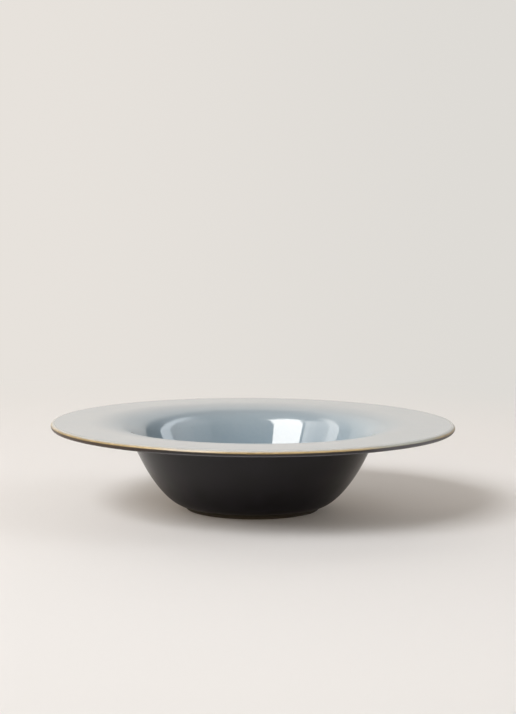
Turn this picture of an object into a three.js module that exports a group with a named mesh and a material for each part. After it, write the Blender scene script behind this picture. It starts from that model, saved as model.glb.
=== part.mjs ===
// Deep plate in glazed stoneware: a wide flat rim round a steep-sided well, on a low foot ring.
// Millimetres, +Z up. The origin is the centre of the face that the foot ring stands on.
// One curve, the upper face of the finished plate, drives every layer: each coat of glaze and
// the clay between them lie at their own depth below it.

import * as THREE from 'three';

// The finished plate over everything
const PLATE_DIAMETER = 270;
const PLATE_HEIGHT = 58.5;

// The clay and the coats fired on to it
const CLAY_WALL = 3.2;
const BASE_CLAY = 3.6;
const GLAZE_COAT = 0.4;

// The upper face, from the rim's edge inwards: flat rim, gentle roll, lip, straight wall
const RIM_FLAT_WIDTH = 25;
const RIM_ROLL_RADIUS = 89;
const RIM_ROLL_ANGLE = THREE.MathUtils.degToRad(13);
const LIP_RADIUS = 20;
const WALL_ANGLE = THREE.MathUtils.degToRad(63.5);

// The curve that turns the wall into the floor of the well
const WELL_CURVE_RISE = 33;
const WELL_CURVE_FULLNESS = 0.58;

// The foot ring, stepped in from the line where wall and floor would meet
const FOOT_STEP_IN = 12.4;
const FOOT_HEIGHT = 2.5;
const FOOT_WIDTH = 4.5;
const FOOT_EDGE_ROUND = 0.8;
const BASE_GLAZE_MARGIN = 1.2;

// How finely the round forms are divided
const TURN_STEPS = 48;
const WELL_STEPS = 7;
const LIP_STEPS = 5;
const ROLL_STEPS = 2;
const EDGE_STEPS = 6;
const ROUND_STEPS = 2;

const PLATE_THICKNESS = CLAY_WALL + 2 * GLAZE_COAT;
const FLOOR_HEIGHT = FOOT_HEIGHT + BASE_CLAY + GLAZE_COAT;
const EDGE_CENTRE = new THREE.Vector2(PLATE_DIAMETER / 2 - PLATE_THICKNESS / 2, PLATE_HEIGHT - PLATE_THICKNESS / 2);

// An arc whose centre lies under the face, run outwards from a steep slope to a gentle one
function risingArc(outerEnd, radius, steepSlope, gentleSlope) {
  const centreX = outerEnd.x + radius * Math.sin(gentleSlope);
  const centreY = outerEnd.y - radius * Math.cos(gentleSlope);
  const quarter = Math.PI / 2;
  return new THREE.EllipseCurve(centreX, centreY, radius, radius, quarter + steepSlope, quarter + gentleSlope, true);
}

// The upper face as curves from the axis outwards, each with its number of steps
function upperFaceCurves() {
  const rimEdge = new THREE.Vector2(EDGE_CENTRE.x, PLATE_HEIGHT);
  const flatInner = new THREE.Vector2(PLATE_DIAMETER / 2 - RIM_FLAT_WIDTH, PLATE_HEIGHT);
  const roll = risingArc(flatInner, RIM_ROLL_RADIUS, RIM_ROLL_ANGLE, 0);
  const lip = risingArc(roll.getPoint(0), LIP_RADIUS, WALL_ANGLE, RIM_ROLL_ANGLE);
  const wallTop = lip.getPoint(0);

  const wallLength = (wallTop.y - FLOOR_HEIGHT) / Math.sin(WALL_ANGLE);
  const wallUp = new THREE.Vector2(Math.cos(WALL_ANGLE), Math.sin(WALL_ANGLE));
  const wallCorner = wallTop.clone().addScaledVector(wallUp, -wallLength);
  const curveRise = Math.min(WELL_CURVE_RISE, wallLength);
  const curveTop = wallCorner.clone().addScaledVector(wallUp, curveRise);
  const floorEdge = new THREE.Vector2(wallCorner.x - FOOT_STEP_IN, FLOOR_HEIGHT);
  const floorPull = floorEdge.clone().lerp(wallCorner, WELL_CURVE_FULLNESS);
  const wallPull = curveTop.clone().lerp(wallCorner, WELL_CURVE_FULLNESS);

  const curves = [
    [new THREE.LineCurve(new THREE.Vector2(0, FLOOR_HEIGHT), floorEdge), 1],
    [new THREE.CubicBezierCurve(floorEdge, floorPull, wallPull, curveTop), WELL_STEPS],
  ];
  if (curveRise < wallLength) curves.push([new THREE.LineCurve(curveTop, wallTop), 1]);
  curves.push([lip, LIP_STEPS], [roll, ROLL_STEPS], [new THREE.LineCurve(flatInner, rimEdge), 1]);
  return curves;
}

// Points along the curves, each with the direction square to the face that leads into the clay
function stationsAlong(curves) {
  const stations = [];
  for (const [curve, steps] of curves) {
    const firstStep = stations.length === 0 ? 0 : 1;
    for (let step = firstStep; step <= steps; step += 1) {
      const along = curve.getTangent(step / steps);
      const inwards = new THREE.Vector2(along.y, -along.x);
      stations.push({ point: curve.getPoint(step / steps), inwards });
    }
  }
  return stations;
}

const upperFace = stationsAlong(upperFaceCurves());

// The layer at one depth below the upper face, from the axis to the rim's edge
function layer(depth) {
  return upperFace.map(({ point, inwards }) => point.clone().addScaledVector(inwards, depth));
}

const glazeTop = layer(0);
const clayTop = layer(GLAZE_COAT);
const clayUnder = layer(GLAZE_COAT + CLAY_WALL);
const plateUnder = layer(PLATE_THICKNESS);

// The part of an underside layer that lies outside the foot ring
function outsideFoot(points) {
  return points.slice(1);
}

// An arc in the profile plane, without the two end points that its neighbours give
function arcBetween(centreX, centreY, radius, startAngle, endAngle, steps) {
  const clockwise = endAngle < startAngle;
  const arc = new THREE.EllipseCurve(centreX, centreY, radius, radius, startAngle, endAngle, clockwise);
  return arc.getPoints(steps).slice(1, -1);
}

// The rounded rim's edge at one radius about its centre, from below upwards
function edgeRound(radius) {
  return arcBetween(EDGE_CENTRE.x, EDGE_CENTRE.y, radius, -Math.PI / 2, Math.PI / 2, EDGE_STEPS);
}

// The foot ring from the ceiling of its recess to the underside of the wall
function footProfile() {
  const outer = clayUnder[1].x;
  const inner = outer - FOOT_WIDTH;
  const round = FOOT_EDGE_ROUND;
  const quarter = Math.PI / 2;
  return [
    new THREE.Vector2(inner, FOOT_HEIGHT),
    new THREE.Vector2(inner, round),
    ...arcBetween(inner + round, round, round, 2 * quarter, 3 * quarter, ROUND_STEPS),
    new THREE.Vector2(inner + round, 0),
    new THREE.Vector2(outer - round, 0),
    ...arcBetween(outer - round, round, round, -quarter, 0, ROUND_STEPS),
    new THREE.Vector2(outer, round),
  ];
}

// A solid of revolution from a profile that runs anticlockwise, with the axis upright
function turned(name, profile, color, roughness) {
  const geometry = new THREE.LatheGeometry(profile, TURN_STEPS);
  geometry.rotateX(Math.PI / 2);
  const mesh = new THREE.Mesh(geometry, new THREE.MeshStandardMaterial({ color, roughness, metalness: 0 }));
  mesh.name = name;
  return mesh;
}

// A ring between two faces that share no point with the axis, closed on itself
function turnedRing(name, underFace, overFace, color, roughness) {
  return turned(name, [...underFace, ...overFace.toReversed(), underFace[0]], color, roughness);
}

// The clay: floor, wall, rim and foot ring in one piece, as it comes off the wheel
function stonewareBody() {
  const profile = [
    new THREE.Vector2(0, FOOT_HEIGHT),
    ...footProfile(),
    ...outsideFoot(clayUnder),
    ...edgeRound(CLAY_WALL / 2),
    ...clayTop.toReversed(),
  ];
  return turned('stoneware_body', profile, 0x8f7658, 0.85);
}

// The grey-blue coat over the well and the top of the rim
function innerGlaze() {
  return turned('inner_glaze', [...clayTop, ...glazeTop.toReversed()], 0x91a0a9, 0.1);
}

// The ochre line where the glaze thins round the rim's edge
function rimEdgeBand() {
  const clayEdge = [clayUnder.at(-1), ...edgeRound(CLAY_WALL / 2), clayTop.at(-1)];
  const bandEdge = [plateUnder.at(-1), ...edgeRound(PLATE_THICKNESS / 2), glazeTop.at(-1)];
  return turnedRing('rim_edge_band', bandEdge, clayEdge, 0xa58c5f, 0.25);
}

// The near-black coat under the rim and down the wall, wiped off above the foot ring
function outerGlaze() {
  return turnedRing('outer_glaze', outsideFoot(plateUnder), outsideFoot(clayUnder), 0x1e1e22, 0.4);
}

// The same dark coat on the ceiling of the recess inside the foot ring
function baseGlaze() {
  const radius = clayUnder[1].x - FOOT_WIDTH - BASE_GLAZE_MARGIN;
  const profile = [
    new THREE.Vector2(0, FOOT_HEIGHT - GLAZE_COAT),
    new THREE.Vector2(radius, FOOT_HEIGHT - GLAZE_COAT),
    new THREE.Vector2(radius, FOOT_HEIGHT),
    new THREE.Vector2(0, FOOT_HEIGHT),
  ];
  return turned('base_glaze', profile, 0x1e1e22, 0.4);
}

const deepPlate = new THREE.Group();
deepPlate.add(stonewareBody(), innerGlaze(), rimEdgeBand(), outerGlaze(), baseGlaze());

export default deepPlate;
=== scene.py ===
from math import atan, atan2, cos, exp, pi, radians, sin

import bpy
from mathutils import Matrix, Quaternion, Vector


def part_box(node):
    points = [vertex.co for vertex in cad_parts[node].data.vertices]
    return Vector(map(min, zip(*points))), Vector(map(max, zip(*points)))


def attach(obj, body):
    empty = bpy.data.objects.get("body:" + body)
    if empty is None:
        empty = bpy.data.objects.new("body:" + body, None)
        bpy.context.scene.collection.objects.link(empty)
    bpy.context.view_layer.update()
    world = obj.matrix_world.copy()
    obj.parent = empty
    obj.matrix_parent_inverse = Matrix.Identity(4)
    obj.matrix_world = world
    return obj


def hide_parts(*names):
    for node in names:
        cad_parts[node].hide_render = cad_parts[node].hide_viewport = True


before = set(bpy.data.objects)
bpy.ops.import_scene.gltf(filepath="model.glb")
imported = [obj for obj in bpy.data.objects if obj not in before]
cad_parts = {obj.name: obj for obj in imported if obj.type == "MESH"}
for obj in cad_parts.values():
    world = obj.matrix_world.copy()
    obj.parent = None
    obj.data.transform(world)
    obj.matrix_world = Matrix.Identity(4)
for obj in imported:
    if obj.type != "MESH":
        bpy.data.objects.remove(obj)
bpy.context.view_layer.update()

# Clay body
# One piece of stoneware clay: floor, wall, rim and foot ring, shaped on the wheel and trimmed underneath.
# The coats that follow cover all of it but the foot ring, which stays bare to stand on in the kiln.
mm = 0.001
edge_low, edge_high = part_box("rim_edge_band")
base_coat_low, base_coat_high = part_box("base_glaze")
clay_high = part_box("stoneware_body")[1]
floor_coat_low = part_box("inner_glaze")[0]

PLATE_RADIUS = edge_high.x
PLATE_TOP = edge_high.z
PLATE_THICKNESS = edge_high.z - edge_low.z
GLAZE_COAT = edge_high.x - clay_high.x
CLAY_WALL = PLATE_THICKNESS - 2 * GLAZE_COAT
FLOOR_TOP = floor_coat_low.z + GLAZE_COAT
EDGE_RADIUS = PLATE_RADIUS - PLATE_THICKNESS / 2
EDGE_HEIGHT = PLATE_TOP - PLATE_THICKNESS / 2
RECESS_HEIGHT = base_coat_high.z

RIM_FLAT_WIDTH = 25 * mm
RIM_ROLL_BEND = 89 * mm
RIM_ROLL_SLOPE = radians(13)
LIP_BEND = 20 * mm
WALL_SLOPE = radians(63.5)
WELL_CURVE_RISE = 33 * mm
WELL_CURVE_FULLNESS = 0.58
FOOT_STEP_IN = 12.4 * mm
FOOT_WIDTH = 4.5 * mm
FOOT_EDGE_ROUND = 0.8 * mm

RIM_STEPS = 8
ROLL_STEPS = 24
LIP_STEPS = 64
WALL_STEPS = 4
WELL_STEPS = 48
NOSE_STEPS = 36
ROUND_STEPS = 6
TURN_STEPS = 256
COVERED_SKIP = 4
MERGE_REACH = 0.01 * mm
SMOOTH_ANGLE = radians(35)


def bow(outer_radius, outer_height, bend, gentle, steep, steps):
    """Stations down an arc of the face that turns from a gentle slope to a steep one."""
    stations = []
    for step in range(1, steps + 1):
        slope = gentle + (steep - gentle) * step / steps
        radius = outer_radius - bend * (sin(slope) - sin(gentle))
        height = outer_height - bend * (cos(gentle) - cos(slope))
        stations.append((radius, height, slope))
    return stations


def curve_station(corners, part):
    """A station part of the way along a cubic curve, found by cutting its four corners down to two."""
    while len(corners) > 2:
        corners = [here.lerp(there, part) for here, there in zip(corners, corners[1:])]
    lower, upper = corners
    along = upper - lower
    point = lower.lerp(upper, part)
    return point.x, point.y, atan2(along.y, along.x)


def upper_face():
    """Stations (radius, height, slope) along the finished upper face, from the rim's edge to the axis."""
    flat_inner = PLATE_RADIUS - RIM_FLAT_WIDTH
    stations = []
    for step in range(RIM_STEPS + 1):
        radius = EDGE_RADIUS + (flat_inner - EDGE_RADIUS) * step / RIM_STEPS
        stations.append((radius, PLATE_TOP, 0.0))
    stations += bow(flat_inner, PLATE_TOP, RIM_ROLL_BEND, 0.0, RIM_ROLL_SLOPE, ROLL_STEPS)
    roll_end = stations[-1]
    stations += bow(roll_end[0], roll_end[1], LIP_BEND, RIM_ROLL_SLOPE, WALL_SLOPE, LIP_STEPS)

    wall_top = Vector(stations[-1][:2])
    wall_up = Vector((cos(WALL_SLOPE), sin(WALL_SLOPE)))
    wall_foot = wall_top - wall_up * (wall_top.y - FLOOR_TOP) / sin(WALL_SLOPE)
    curve_top = wall_foot + wall_up * WELL_CURVE_RISE
    for step in range(1, WALL_STEPS + 1):
        point = wall_top.lerp(curve_top, step / WALL_STEPS)
        stations.append((point.x, point.y, WALL_SLOPE))

    floor_edge = Vector((wall_foot.x - FOOT_STEP_IN, FLOOR_TOP))
    floor_pull = floor_edge.lerp(wall_foot, WELL_CURVE_FULLNESS)
    wall_pull = curve_top.lerp(wall_foot, WELL_CURVE_FULLNESS)
    corners = [floor_edge, floor_pull, wall_pull, curve_top]
    for step in range(1, WELL_STEPS + 1):
        stations.append(curve_station(corners, 1 - step / WELL_STEPS))
    stations.append((0.0, FLOOR_TOP, 0.0))
    return stations


def layer(depth):
    """The face at one depth below the upper face, from the rim's edge to the axis."""
    points = []
    for radius, height, slope in upper_face():
        points.append(Vector((radius + depth * sin(slope), 0, height - depth * cos(slope))))
    return points


def thinned(points):
    """A few of the points and the last, for a face that a coat covers."""
    return points[:-1:COVERED_SKIP] + points[-1:]


def nose(depth):
    """The rim's rounded edge at one depth in from its outside, from the top downwards, without its ends."""
    points = []
    reach = PLATE_THICKNESS / 2 - depth
    for step in range(1, NOSE_STEPS):
        angle = pi / 2 - pi * step / NOSE_STEPS
        points.append(Vector((EDGE_RADIUS + reach * cos(angle), 0, EDGE_HEIGHT + reach * sin(angle))))
    return points


def corner_round(centre_radius, centre_height, reach, start):
    """A quarter of a circle in the section, turned anticlockwise from its start angle."""
    points = []
    for step in range(ROUND_STEPS + 1):
        angle = start + pi / 2 * step / ROUND_STEPS
        points.append(Vector((centre_radius + reach * cos(angle), 0, centre_height + reach * sin(angle))))
    return points


def turn(name, section):
    """Draws a section by extruding one point along it, and spins it round the plate's axis."""
    bpy.ops.object.select_all(action="DESELECT")
    bpy.ops.mesh.primitive_plane_add(size=1 * mm, location=(0, 0, 0))
    piece = bpy.context.object
    piece.name = name
    piece.data.name = name
    bpy.ops.object.mode_set(mode="EDIT")
    bpy.ops.mesh.merge(type="CENTER")
    bpy.ops.transform.translate(value=section[0])
    for here, there in zip(section, section[1:]):
        bpy.ops.mesh.extrude_vertices_move(TRANSFORM_OT_translate={"value": there - here})
    bpy.ops.mesh.select_all(action="SELECT")
    bpy.ops.mesh.remove_doubles(threshold=MERGE_REACH)
    bpy.ops.mesh.spin(steps=TURN_STEPS, angle=2 * pi, center=(0, 0, 0), axis=(0, 0, 1))
    bpy.ops.mesh.select_all(action="SELECT")
    bpy.ops.mesh.remove_doubles(threshold=MERGE_REACH)
    bpy.ops.mesh.normals_make_consistent(inside=False)
    bpy.ops.object.mode_set(mode="OBJECT")
    bpy.ops.object.shade_smooth_by_angle(angle=SMOOTH_ANGLE)
    return piece


glaze_top = layer(0.0)
clay_top = thinned(layer(GLAZE_COAT))
clay_under = thinned(layer(GLAZE_COAT + CLAY_WALL)[:-1])
plate_under = layer(PLATE_THICKNESS)[:-1]
foot_outer = clay_under[-1].x
foot_inner = foot_outer - FOOT_WIDTH

foot_section = [Vector((0, 0, RECESS_HEIGHT)), Vector((foot_inner, 0, RECESS_HEIGHT))]
foot_section += corner_round(foot_inner + FOOT_EDGE_ROUND, FOOT_EDGE_ROUND, FOOT_EDGE_ROUND, pi)
foot_section += corner_round(foot_outer - FOOT_EDGE_ROUND, FOOT_EDGE_ROUND, FOOT_EDGE_ROUND, -pi / 2)
clay_edge = nose(GLAZE_COAT)
body = turn("clay_body", foot_section + clay_under[::-1] + clay_edge[::-1] + clay_top)


class Signal:
    """One output of a shader node. Sums on signals add Math nodes to the same tree."""

    def __init__(self, socket):
        self.socket = socket

    def node(self, kind, settings, inputs, output=0):
        """Adds a node, sets it, and gives its inputs their values or links."""
        tree = self.socket.id_data
        made = tree.nodes.new(kind)
        for name, value in settings.items():
            setattr(made, name, value)
        for key, value in inputs.items():
            if isinstance(value, Signal):
                tree.links.new(value.socket, made.inputs[key])
            else:
                made.inputs[key].default_value = value
        return Signal(made.outputs[output])

    def into(self, socket):
        self.socket.id_data.links.new(self.socket, socket)

    def maths(self, operation, first, second):
        return self.node("ShaderNodeMath", {"operation": operation}, {0: first, 1: second})

    def __add__(self, other):
        return self.maths("ADD", self, other)

    def __radd__(self, other):
        return self.maths("ADD", other, self)

    def __sub__(self, other):
        return self.maths("SUBTRACT", self, other)

    def __rsub__(self, other):
        return self.maths("SUBTRACT", other, self)

    def __mul__(self, other):
        return self.maths("MULTIPLY", self, other)

    def __rmul__(self, other):
        return self.maths("MULTIPLY", other, self)

    def __truediv__(self, other):
        return self.maths("DIVIDE", self, other)

    def __pow__(self, other):
        return self.maths("POWER", self, other)

    def __abs__(self):
        return self.node("ShaderNodeMath", {"operation": "ABSOLUTE"}, {0: self})


def tone(red, green, blue):
    """A colour written in 0 to 255 screen steps, as the linear values that a shader takes."""
    steps = [value / 255 for value in (red, green, blue)]
    return [value / 12.92 if value < 0.04045 else ((value + 0.055) / 1.055) ** 2.4 for value in steps] + [1]


def new_finish(name):
    """A new material, its shader, and the place on the piece as a signal."""
    finish = bpy.data.materials.new(name)
    finish.use_nodes = True
    tree = finish.node_tree
    place = Signal(tree.nodes.new("ShaderNodeTexCoord").outputs["Object"])
    return finish, tree.nodes["Principled BSDF"], place


def cloud(place, size, detail=2.0):
    """Soft mottling with patches of about one size, from 0 to 1."""
    return place.node("ShaderNodeTexNoise", {}, {"Vector": place, "Scale": 1 / size, "Detail": detail})


def rise(signal, low, high):
    """0 below low, 1 above high, and a soft step between them."""
    limits = {"Value": signal, "From Min": low, "From Max": high}
    return signal.node("ShaderNodeMapRange", {"interpolation_type": "SMOOTHSTEP"}, limits)


def specks(place, spacing, core, edge):
    """Round specks about one spacing apart: 1 in the core and 0 past the edge, in parts of the spacing."""
    apart = place.node("ShaderNodeTexVoronoi", {}, {"Vector": place, "Scale": 1 / spacing})
    return 1 - rise(apart, core, edge)


def mix(first, second, share):
    """One colour giving way to another as share goes from 0 to 1."""
    return share.node("ShaderNodeMix", {"data_type": "RGBA"}, {0: share, 6: first, 7: second}, output=2)


def relief(height, distance):
    """A bump from a height signal, for a shader's normal."""
    return height.node("ShaderNodeBump", {}, {"Height": height, "Distance": distance, "Strength": 1.0})


def axis_part(place, axis):
    """The X, Y or Z part of a place."""
    return place.node("ShaderNodeSeparateXYZ", {}, {0: place}, output=axis)


def from_axis(place):
    """Distance from the plate's axis."""
    across = axis_part(place, "X")
    depth = axis_part(place, "Y")
    return (across * across + depth * depth) ** 0.5


CLAY_BUFF = tone(133, 112, 82)
CLAY_BROWN = tone(92, 76, 54)
CLAY_GRIT = tone(58, 46, 34)
# Olive stain on the foot's outer side, darkened near black as painted shade where the foot meets the floor
CLAY_STAIN_AND_SHADE = tone(34, 29, 20)
CLAY_PATCH = 9 * mm
CLAY_GRAIN = 0.7 * mm
GRIT_SPACING = 1.6 * mm
GRIT_CORE, GRIT_EDGE = 0.1, 0.2
GRIT_SHARE = 0.8
STAIN_AND_SHADE_START = foot_outer - 0.7 * mm
STAIN_AND_SHADE_FULL = foot_outer - 0.2 * mm
STAIN_AND_SHADE_WANDER = 0.4 * mm
CLAY_ROUGHNESS = 0.78
GRAIN_ROUGHNESS = 0.15
CLAY_TOOTH = 0.08 * mm


def bare_clay():
    """Fired stoneware: buff and gritty where it was wiped clean, and on the foot's outer side stained olive
    and painted near black as shade where the foot meets the floor.
    """
    finish, shader, place = new_finish("bare_clay")
    patches = cloud(place, CLAY_PATCH, 3.0)
    grain = cloud(place, CLAY_GRAIN, 4.0)
    grit = specks(place, GRIT_SPACING, GRIT_CORE, GRIT_EDGE)
    clay = mix(CLAY_BROWN, CLAY_BUFF, rise(patches + 0.4 * grain, 0.45, 0.95))
    gritty = mix(clay, CLAY_GRIT, GRIT_SHARE * grit)
    # Painted shade: the foot's outer side turns near black, its olive stain darkened where the foot meets
    # the floor
    outer_side_stain_and_shade = rise(from_axis(place) + STAIN_AND_SHADE_WANDER * (patches - 0.5), STAIN_AND_SHADE_START, STAIN_AND_SHADE_FULL)
    mix(gritty, CLAY_STAIN_AND_SHADE, outer_side_stain_and_shade).into(shader.inputs["Base Color"])
    (CLAY_ROUGHNESS + GRAIN_ROUGHNESS * grain).into(shader.inputs["Roughness"])
    relief(grain + 0.5 * grit, CLAY_TOOTH).into(shader.inputs["Normal"])
    return finish


body.data.materials.append(bare_clay())
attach(body, "root")
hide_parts("stoneware_body")

# Inner glaze
# The grey-blue coat poured over the well and the top of the rim, glossy and a little deeper where it pools.
# It is fused to the clay, and thins to ochre just before the rim's edge.
inner_coat = turn("inner_glaze_coat", glaze_top[::-1] + clay_top)

GLAZE_WELL = tone(133, 150, 162)
GLAZE_RIM = tone(184, 187, 189)
GLAZE_CLOUD = tone(160, 170, 176)
OCHRE = tone(168, 148, 106)
IRON_SPECK = tone(92, 88, 82)
GLAZE_IOR = 1.8
GLAZE_PATCH = 30 * mm
GLAZE_FLECK = 2.2 * mm
MOTTLE_SHARE = 0.2
SPECK_SPACING = 7 * mm
SPECK_CORE, SPECK_EDGE = 0.03, 0.06
SPECK_SHARE = 0.3
POOL_RADIUS = 70 * mm
PALE_RADIUS = 112 * mm
GLOSS_RADIUS = 76 * mm
SATIN_RADIUS = 84 * mm
GLOSS_ROUGHNESS = 0.03
PATCH_ROUGHNESS = 0.03
SATIN_ROUGHNESS = 0.2
BREAK_WIDTH = 1.4 * mm
BREAK_PATCH = 6 * mm
BREAK_SHARE = 0.1
RIPPLE_LENGTH = 26 * mm
RIPPLE_RISE = 0.002 * mm


def inner_glaze():
    """Grey-blue glaze, glossy in the well and satin on the rim, with soft mottling, faint specks and an
    ochre break at its edge."""
    finish, shader, place = new_finish("inner_glaze")
    radius = from_axis(place)
    patches = cloud(place, GLAZE_PATCH)
    flecks = cloud(place, GLAZE_FLECK, 4.0)
    coat = mix(GLAZE_WELL, GLAZE_RIM, rise(radius, POOL_RADIUS, PALE_RADIUS))
    mottled = mix(coat, GLAZE_CLOUD, MOTTLE_SHARE * rise(patches + 0.5 * flecks, 0.45, 1.05))
    iron = specks(place, SPECK_SPACING, SPECK_CORE, SPECK_EDGE)
    speckled = mix(mottled, IRON_SPECK, SPECK_SHARE * iron)
    ragged = cloud(place, BREAK_PATCH, 3.0)
    thin = rise(radius + BREAK_WIDTH * (ragged - 0.5), EDGE_RADIUS - BREAK_WIDTH, EDGE_RADIUS)
    mix(speckled, OCHRE, BREAK_SHARE * thin).into(shader.inputs["Base Color"])
    satin = SATIN_ROUGHNESS * rise(radius, GLOSS_RADIUS, SATIN_RADIUS)
    (GLOSS_ROUGHNESS + PATCH_ROUGHNESS * patches + satin).into(shader.inputs["Roughness"])
    shader.inputs["IOR"].default_value = GLAZE_IOR
    relief(cloud(place, RIPPLE_LENGTH, 1.0), RIPPLE_RISE).into(shader.inputs["Normal"])
    return finish


inner_coat.data.materials.append(inner_glaze())
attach(inner_coat, "root")
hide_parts("inner_glaze")

# Rim edge band
# The line round the rim's edge where both glazes run thin over the iron in the clay: ochre on its upper
# half, broken and uneven, and dark underneath.
clay_ring = [clay_top[0]] + clay_edge + [clay_under[0]]
band_ring = [glaze_top[0]] + nose(0.0) + [plate_under[0]]
edge_band = turn("rim_edge_line", clay_ring + band_ring[::-1] + clay_ring[:1])

OCHRE_DEEP = tone(132, 113, 70)
# Grey for the painted reflection of the right screen on one stretch of the edge
GREY_REFLECTION = tone(148, 150, 140)
IRON_BROWN = tone(46, 32, 18)
GLAZE_BLACK = tone(15, 14, 15)
# Slate for painted reflections on the edge: the floor along its lower edge and the right screen on one
# stretch
SLATE_REFLECTION = tone(72, 71, 76)
EDGE_FLECK = 5 * mm
EDGE_DRIFT = 38 * mm
EDGE_ROUGHNESS = 0.34
FLECK_ROUGHNESS = 0.14
EDGE_TOOTH = 0.06 * mm
# Share of pale rim glaze for the painted highlight of the key lamp and the paler left tip
HIGHLIGHT_SHARE = 0.3
PALE_SHARE = 0.9

# Stretches of the edge from left to right, in parts of the plate's radius, among them those of the painted
# reflections and highlight
LEFT_TIP = (-0.99, -0.9)
BROWN_TO_BLACK = (-0.7, -0.3)
REFLECTION_LINE_START = (-0.6, -0.45)
LEFT_DROP_END = (-0.45, -0.15)
HIGHLIGHT_START, HIGHLIGHT_END = (-0.48, -0.36), (-0.24, -0.1)
RIGHT_REFLECTION_START, RIGHT_REFLECTION_END = (0.45, 0.65), (0.82, 0.92)
RIGHT_TIP = (0.86, 0.94)

# Heights on the edge, in parts of half its thickness, and how far they wander and drop
REFLECTION_LINE_TOP = (-0.75, -0.35)
DARK_TOP = (-0.25, 0.15)
BROWN_TOP = (-0.05, 0.3)
OCHRE_TOP = (0.35, 0.95)
FLECK_WANDER = 0.2
DRIFT_WANDER = 0.4
DROP_DEPTH = 0.15


def edge_ochre():
    """Ochre that fades in from the pale rim and turns dark below, iron brown at both tips and black between.

    A slate line along the lower edge is a painted reflection of the floor. One stretch at the right is
    painted grey and slate nearly all the way up as a reflection of the right screen, and one left of the
    middle is painted paler as a highlight of the key lamp; the left tip is paler too. The ochre is painted
    deeper towards the left as shade."""
    finish, shader, place = new_finish("edge_ochre")
    side = axis_part(place, "X") / PLATE_RADIUS
    upward = (axis_part(place, "Z") - EDGE_HEIGHT) / (PLATE_THICKNESS / 2)
    ragged = cloud(place, EDGE_FLECK, 3.0)
    drift = cloud(place, EDGE_DRIFT)
    right_tip = rise(side, *RIGHT_TIP)
    # Painted reflection: on this stretch at the right the screen shows as grey and slate nearly all the way
    # up the edge
    right_reflection = rise(side, *RIGHT_REFLECTION_START) * (1 - rise(side, *RIGHT_REFLECTION_END))
    # Painted highlight of the key lamp on a stretch left of the middle; the left tip is paler too
    highlight_and_pale_tip = rise(side, *HIGHLIGHT_START) * (1 - rise(side, *HIGHLIGHT_END)) + 1 - rise(side, *LEFT_TIP)
    drop = right_reflection + 1 - rise(side, *LEFT_DROP_END)
    level = upward + FLECK_WANDER * (ragged - 0.5) + DRIFT_WANDER * (drift - 0.5) - DROP_DEPTH * drop

    # Painted shade: the ochre deepens towards the left, where the key lamp lights the edge most
    gold = mix(OCHRE, OCHRE_DEEP, rise(ragged + drift - 0.15 * side + 0.4 * right_tip, 0.82, 1.22))
    highlighted = mix(mix(gold, GREY_REFLECTION, right_reflection), GLAZE_RIM, HIGHLIGHT_SHARE * highlight_and_pale_tip)
    capped = mix(highlighted, GLAZE_RIM, PALE_SHARE * rise(level, *OCHRE_TOP))
    browned = mix(IRON_BROWN, capped, rise(level, *BROWN_TOP))

    inky = rise(side, *BROWN_TO_BLACK) * (1 - right_tip)
    # Painted reflection of the floor: a slate line along the lower edge, between the brown tips
    line = inky * rise(side, *REFLECTION_LINE_START) * (1 - rise(upward, *REFLECTION_LINE_TOP))
    under = mix(mix(IRON_BROWN, GLAZE_BLACK, inky), SLATE_REFLECTION, right_reflection + (1 - right_reflection) * line)
    mix(under, browned, rise(level, *DARK_TOP)).into(shader.inputs["Base Color"])
    (EDGE_ROUGHNESS + FLECK_ROUGHNESS * ragged).into(shader.inputs["Roughness"])
    relief(ragged, EDGE_TOOTH).into(shader.inputs["Normal"])
    return finish


edge_band.data.materials.append(edge_ochre())
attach(edge_band, "root")
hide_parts("rim_edge_band")

# Outer glaze
# The near-black satin coat under the rim and down the wall, dipped and then sponged off above the foot
# ring, where its edge draws up into a low bead.
BEAD_RISE = 0.14 * mm
BEAD_PLACE = 1.4 * mm
BEAD_WIDTH = 0.8 * mm


def beaded(points):
    """The underside with a low bead of glaze near its foot end, the last point of the list."""
    swollen = []
    for here, inner in zip(points, points[1:] + points[-1:]):
        from_foot = (here - points[-1]).length
        swell = BEAD_RISE * exp(-(((from_foot - BEAD_PLACE) / BEAD_WIDTH) ** 2))
        along = (here - inner).normalized()
        swollen.append(here + Vector((along.z, 0, -along.x)) * swell)
    return swollen


outer_coat = turn("outer_glaze_coat", beaded(plate_under) + clay_under[::-1] + plate_under[:1])

GLAZE_INK = tone(22, 20, 25)
GLAZE_OLIVE = tone(43, 39, 30)
DARK_PATCH = 14 * mm
DARK_FLECK = 1.8 * mm
DARK_TOOTH = 0.05 * mm
DARK_ROUGHNESS = 0.4
DARK_PATCH_ROUGHNESS = 0.2
DARK_IOR = 1.41
DARK_GLOSS = 0.24
OLIVE_FULL = 3.6 * mm
OLIVE_END = 5.8 * mm
OLIVE_WANDER = 1.2 * mm
DRY_END = 6 * mm
GLOSS_START = 30 * mm
DRY_WANDER = 6 * mm
DRY_SHARE = 0.4


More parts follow.
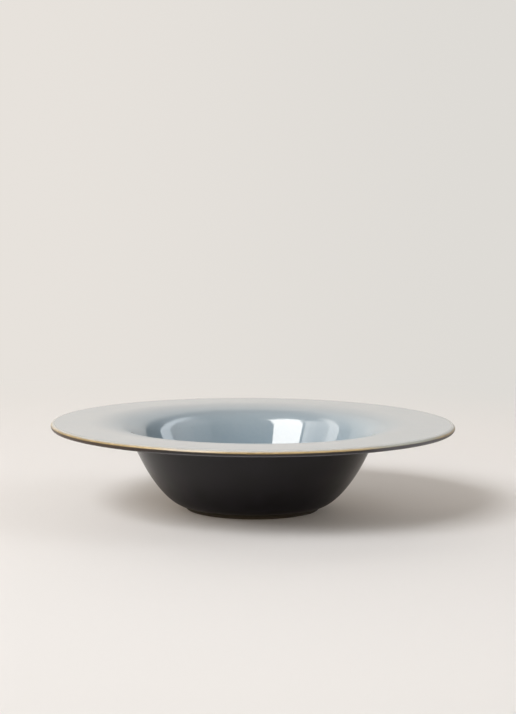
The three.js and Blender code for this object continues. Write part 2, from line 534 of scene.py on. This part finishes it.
def outer_glaze():
    """Near-black satin glaze, finely mottled, drier lower down and thinned to olive round the foot."""
    finish, shader, place = new_finish("outer_glaze")
    height = axis_part(place, "Z")
    patches = cloud(place, DARK_PATCH)
    flecks = cloud(place, DARK_FLECK, 3.0)
    inky = mix(GLAZE_BLACK, GLAZE_INK, rise(patches + flecks, 0.7, 1.3))
    low = 1 - rise(height + OLIVE_WANDER * (patches - 0.5), OLIVE_FULL, OLIVE_END)
    thin = low * rise(from_axis(place), foot_inner, foot_outer)
    mix(inky, GLAZE_OLIVE, thin).into(shader.inputs["Base Color"])
    (DARK_ROUGHNESS + DARK_PATCH_ROUGHNESS * patches).into(shader.inputs["Roughness"])
    glossy = rise(height + DRY_WANDER * (patches - 0.5), DRY_END, GLOSS_START)
    (DRY_SHARE + (1 - DRY_SHARE) * glossy).into(shader.inputs["Coat Weight"])
    shader.inputs["Specular IOR Level"].default_value = 0.0
    shader.inputs["Coat Roughness"].default_value = DARK_GLOSS
    shader.inputs["Coat IOR"].default_value = DARK_IOR
    relief(flecks, DARK_TOOTH).into(shader.inputs["Normal"])
    return finish


dark_glaze = outer_glaze()
outer_coat.data.materials.append(dark_glaze)
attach(outer_coat, "root")
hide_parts("outer_glaze")

# Base glaze
# The same dark coat on the ceiling of the recess inside the foot ring, over the shallow rings that the
# trimming tool left in the clay.
TRIM_RING_PITCH = 3.2 * mm
TRIM_RING_DEPTH = 0.08 * mm
BASE_STEPS = 72
base_radius = base_coat_high.x

base_face = []
for step in range(BASE_STEPS + 1):
    ring_radius = base_radius * step / BASE_STEPS
    ripple = TRIM_RING_DEPTH * (0.5 - 0.5 * cos(2 * pi * ring_radius / TRIM_RING_PITCH))
    base_face.append(Vector((ring_radius, 0, base_coat_low.z + ripple)))
base_back = [Vector((base_radius, 0, RECESS_HEIGHT)), Vector((0, 0, RECESS_HEIGHT))]
base_coat = turn("base_glaze_coat", base_face + base_back)

base_coat.data.materials.append(dark_glaze)
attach(base_coat, "root")
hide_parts("base_glaze")

# Table and backdrop
# A plain pale sweep: a lit floor that keeps the plate's shadow near it, and gives way farther out to an
# even pale distance.
FLOOR_SIZE = 80.0
FLOOR_PALE = tone(223, 222, 222)
FLOOR_ROUGHNESS = 0.9
FLOOR_SHEEN = 0.1
# Painted light falloff: the even distance is lighter at the left than at the right
DISTANCE_LEFT = tone(231, 226, 220)
DISTANCE_RIGHT = tone(222, 219, 214)
DRIFT_REACH = 0.14
LIT_REACH = 0.3
EVEN_REACH = 0.8
VIEW_DISTANCE = 1.3


def pale_distance(aside):
    """The even tone far behind the plate, painted a little lighter at the left than at the right as light
    that falls off to the right.
    """
    return mix(DISTANCE_LEFT, DISTANCE_RIGHT, rise(aside, -DRIFT_REACH, DRIFT_REACH))


def ray_is(place, kind):
    """1 for rays of one kind, such as those that the camera sends out, and 0 for others."""
    return place.node("ShaderNodeLightPath", {}, {}, output=kind)


bpy.ops.object.select_all(action="DESELECT")
bpy.ops.mesh.primitive_plane_add(size=FLOOR_SIZE, location=(0, 0, 0))
floor = bpy.context.object
floor.name = "studio_floor"

floor_finish, floor_shader, floor_place = new_finish("studio_floor")
floor_shader.inputs["Base Color"].default_value = FLOOR_PALE
floor_shader.inputs["Roughness"].default_value = FLOOR_ROUGHNESS
floor_shader.inputs["Specular IOR Level"].default_value = FLOOR_SHEEN
by_camera = ray_is(floor_place, "Is Camera Ray")
by_gloss = ray_is(floor_place, "Is Glossy Ray")
by_glass = ray_is(floor_place, "Is Transmission Ray")
seen = rise(by_camera + by_gloss + by_glass, 0.0, 1.0)
seen_far = seen * rise(from_axis(floor_place), LIT_REACH, EVEN_REACH)
floor_aside = axis_part(floor_place, "X") / (abs(axis_part(floor_place, "Y")) + VIEW_DISTANCE)
even_tone = pale_distance(floor_aside)
even = floor_place.node("ShaderNodeEmission", {}, {"Color": even_tone, "Strength": 1.0})
lit = Signal(floor_shader.outputs["BSDF"])
sweep = floor_place.node("ShaderNodeMixShader", {}, {0: seen_far, 1: lit, 2: even})
sweep.into(floor_finish.node_tree.nodes["Material Output"].inputs["Surface"])
floor.data.materials.append(floor_finish)

# Studio light
# A key lamp at the left front, weak lamps overhead and at the right, and low warm lamps round the plate do
# most of the lighting. A tall soft box and a screen with a brighter strip on either side show in the gloss.
PANEL_DISTANCE = 4.0
WHITE = (1.0, 1.0, 1.0)
COOL_WHITE = (0.95, 1.0, 1.05)
CREAM_WHITE = (1.03, 0.99, 0.95)
WARM_WHITE = (1.0, 0.84, 0.67)


def heading(azimuth, elevation):
    """The direction from the plate to a place round it, with 0 at the camera's side and right positive."""
    turn_angle, lift = radians(azimuth), radians(elevation)
    return Vector((sin(turn_angle) * cos(lift), -cos(turn_angle) * cos(lift), sin(lift)))


def light_panel(name, facing, across, upward, radiance, colour, lean=0, lights=True, shows=True):
    """A rectangular area light in a plane that faces the plate, turned in that plane by the lean.

    Its edges are measured in the plane from the point straight ahead, in parts of the distance. It may
    only light the set, or only show as a bright card in the gloss."""
    lamp_turn = (-heading(*facing)).to_track_quat("-Z", "Y") @ Quaternion((0, 0, 1), radians(lean))
    middle = Vector((sum(across) / 2, sum(upward) / 2, 1))
    bpy.ops.object.light_add(type="AREA", location=lamp_turn @ middle * PANEL_DISTANCE)
    lamp = bpy.context.object
    lamp.name = name
    lamp.rotation_mode = "QUATERNION"
    lamp.rotation_quaternion = lamp_turn
    lamp.data.shape = "RECTANGLE"
    lamp.data.size = PANEL_DISTANCE * (across[1] - across[0])
    lamp.data.size_y = PANEL_DISTANCE * (upward[1] - upward[0])
    lamp.data.energy = radiance * pi * lamp.data.size * lamp.data.size_y
    lamp.data.color = colour
    lamp.visible_camera = False
    lamp.visible_diffuse = lights
    lamp.visible_glossy = shows


light_panel(
    "key_lamp", facing=(-44, 41), across=(-0.3, 0.3), upward=(-0.22, 0.22),
    radiance=10.1, colour=WHITE, shows=False,
)
light_panel(
    "top_lamp", facing=(0, 90), across=(-1.2, 1.2), upward=(-1.2, 1.2),
    radiance=0.06, colour=WHITE, shows=False,
)
light_panel(
    "right_lamp", facing=(90, 25), across=(-0.35, 0.35), upward=(-0.3, 0.3),
    radiance=0.6, colour=WHITE, shows=False,
)
light_panel(
    "left_low_lamp", facing=(-90, 10), across=(-0.9, 0.9), upward=(-0.17, 0.19),
    radiance=1.7, colour=WARM_WHITE, shows=False,
)
light_panel(
    "back_low_lamp", facing=(-165, 0), across=(-1.2, 1.2), upward=(0.0, 0.25),
    radiance=12.0, colour=WARM_WHITE, shows=False,
)
light_panel(
    "front_low_lamp", facing=(-5, 0), across=(-0.9, 0.9), upward=(0.0, 0.36),
    radiance=3.2, colour=WARM_WHITE, shows=False,
)

RIGHT_FACING = (90, 0)
RIGHT_LEAN = -11.5
RIGHT_STRIP = (0.135, 0.43)
RIGHT_PART = 0.27
RIGHT_FADE = (1.05, 0.95, 0.6, 0.4)
light_panel(
    "right_strip", RIGHT_FACING, RIGHT_STRIP, upward=(0.2, 2.3),
    radiance=2.75, colour=COOL_WHITE, lean=RIGHT_LEAN, lights=False,
)
for part, radiance in enumerate(RIGHT_FADE):
    screen_edge = RIGHT_STRIP[0] - RIGHT_PART * part
    light_panel(
        "right_screen", RIGHT_FACING, (screen_edge - RIGHT_PART, screen_edge), upward=(0.2, 1.8),
        radiance=radiance, colour=WHITE, lean=RIGHT_LEAN,
    )

LEFT_FACING = (-90, 0)
LEFT_LEAN = 27
LEFT_STRIP = (-0.055, 0.205)
LEFT_PART = 0.16
LEFT_FADE = (1.4, 1.7, 2.1, 2.55)
light_panel(
    "left_strip", LEFT_FACING, LEFT_STRIP, upward=(0.3, 2.2),
    radiance=2.45, colour=CREAM_WHITE, lean=LEFT_LEAN, lights=False,
)
for part, radiance in enumerate(LEFT_FADE):
    screen_edge = LEFT_STRIP[1] + LEFT_PART * part
    light_panel(
        "left_screen", LEFT_FACING, (screen_edge, screen_edge + LEFT_PART), upward=(0.3, 1.5),
        radiance=radiance, colour=CREAM_WHITE, lean=LEFT_LEAN, lights=False,
    )

BOX_FACING = (-18, 36)
BOX_LEFT = -0.635
BOX_FOOT = -0.12
BOX_PART = 0.133
BOX_TOPS = (1.0, 0.97, 0.88, 0.76)
for part, top in enumerate(BOX_TOPS):
    box_edge = BOX_LEFT + BOX_PART * part
    light_panel(
        "key_softbox", BOX_FACING, (box_edge, box_edge + BOX_PART), upward=(BOX_FOOT, top),
        radiance=7.6, colour=CREAM_WHITE, lights=False,
    )

# Room round the plate
# The gloss mirrors a dark room with a pale backdrop between three slanting edges, at its sides a little
# brighter than white, and a pale glow all round the horizon. The camera sees only the even distance.
ROOM_DARK = tone(52, 49, 46)
ROOM_LEFT = tone(205, 202, 198)
BACKDROP_SIDE = tone(262, 258, 252)
LEFT_EDGE_RISE, LEFT_EDGE_LEAN = 1.8, 0.85
RIGHT_EDGE_REACH, RIGHT_EDGE_LEAN = 0.83, 0.25
TOP_EDGE_RISE = 1.2
EDGE_BLUR = 0.008
TOP_BLUR = 0.02
HORIZON_GLOW = (0.16, 0.26)
ROOM_LEFT_START = (0.7, 0.9)
SIDE_REACH = (0.0, 0.35)
SIDE_LIFT = (0.1, 0.3)

world = bpy.data.worlds.new("studio_room")
world.use_nodes = True
bpy.context.scene.world = world
room = world.node_tree.nodes["Background"]
aim = Signal(world.node_tree.nodes.new("ShaderNodeTexCoord").outputs["Generated"])
sideways = axis_part(aim, "X")
behind = axis_part(aim, "Y")
upwards = axis_part(aim, "Z")
inside_left = LEFT_EDGE_RISE * behind + LEFT_EDGE_LEAN * sideways - upwards
inside_right = RIGHT_EDGE_REACH * behind - RIGHT_EDGE_LEAN * upwards - sideways
inside_top = TOP_EDGE_RISE * behind - upwards
from_left = rise(inside_left, -EDGE_BLUR, EDGE_BLUR)
to_right = rise(inside_right, -EDGE_BLUR, EDGE_BLUR)
under_top = rise(inside_top, -TOP_BLUR, TOP_BLUR)
glow = 1 - rise(upwards, *HORIZON_GLOW)
pale = aim.maths("MAXIMUM", from_left * to_right * under_top, glow)
distance = pale_distance(sideways)
backdrop = mix(distance, BACKDROP_SIDE, rise(abs(sideways), *SIDE_REACH) * rise(upwards, *SIDE_LIFT))
dim = mix(ROOM_DARK, ROOM_LEFT, rise(behind - sideways, *ROOM_LEFT_START))
mirrored = mix(dim, backdrop, pale)
mix(mirrored, distance, ray_is(aim, "Is Camera Ray")).into(room.inputs["Color"])

# Camera
# It stands a little above the rim and looks along +Y, aimed over the plate as in the photograph.
PHOTO_WIDTH = 516
PHOTO_HEIGHT = 714
FOCAL_PIXELS = 1930
AIM_PIXEL = (253.4, 465.1)
AIM_HEIGHT = 29 * mm
VIEW_ELEVATION = 8.85
VIEW_ROLL = radians(0.4)

view_from = Vector((0, 0, AIM_HEIGHT)) + heading(0, VIEW_ELEVATION) * VIEW_DISTANCE
pitch = radians(VIEW_ELEVATION) - atan((AIM_PIXEL[1] - PHOTO_HEIGHT / 2) / FOCAL_PIXELS)
yaw = atan((PHOTO_WIDTH / 2 - AIM_PIXEL[0]) / FOCAL_PIXELS)
look = Vector((sin(yaw) * cos(pitch), cos(yaw) * cos(pitch), -sin(pitch)))
bpy.ops.object.camera_add(location=view_from)
camera = bpy.context.object
camera.rotation_mode = "QUATERNION"
camera.rotation_quaternion = look.to_track_quat("-Z", "Y") @ Quaternion((0, 0, 1), VIEW_ROLL)
camera.data.lens = camera.data.sensor_width * FOCAL_PIXELS / PHOTO_HEIGHT
bpy.context.scene.camera = camera
bpy.context.scene.view_settings.view_transform = "Standard"
